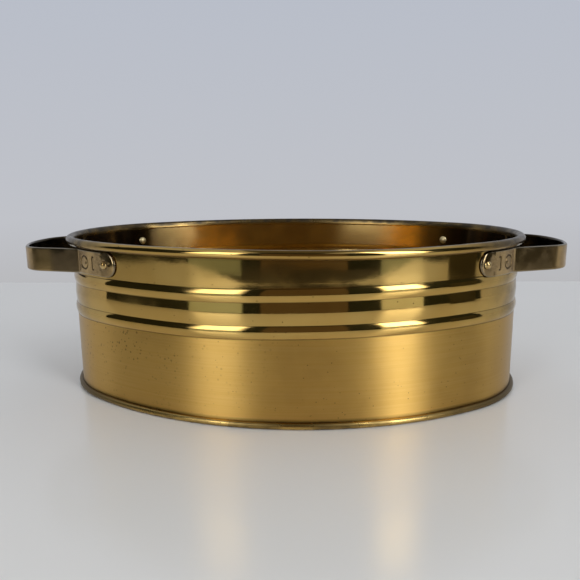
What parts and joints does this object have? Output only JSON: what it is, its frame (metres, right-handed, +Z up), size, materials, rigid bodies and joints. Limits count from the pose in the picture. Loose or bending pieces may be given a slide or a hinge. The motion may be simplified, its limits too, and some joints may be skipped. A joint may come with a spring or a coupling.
{
  "type": "cachepot",
  "caption": "Oval brass cachepot with swaged ribs below a polished collar, a wired rolled rim, a folded foot seam and riveted strap handles.",
  "frame": {"origin": "middle of the flat underside, on the surface that the pot stands on", "axes": "+Z up, +X along the oval's long way through both handles, -Y towards the front of the pot"},
  "size_m": [0.267, 0.1526, 0.0754],
  "materials": {
    "wall_brass": "mirror polished collar, ribs and rim, satin brushed lower wall, lightly tarnished",
    "base_brass": "satin, tarnished along the folded foot",
    "strap_brass": "polished strap with worn, darkened edges and punched ornament",
    "rivet_brass": "polished dome",
    "rim_wire": "plain drawn wire, hidden in the curl"
  },
  "bodies": {
    "root": {"body_wall": "wall_brass", "rim_wire": "rim_wire", "base_pan": "base_brass", "handle_left": "strap_brass", "handle_right": "strap_brass", "rivet_left_front": "rivet_brass", "rivet_left_back": "rivet_brass", "rivet_right_front": "rivet_brass", "rivet_right_back": "rivet_brass"}
  },
  "joints": []
}
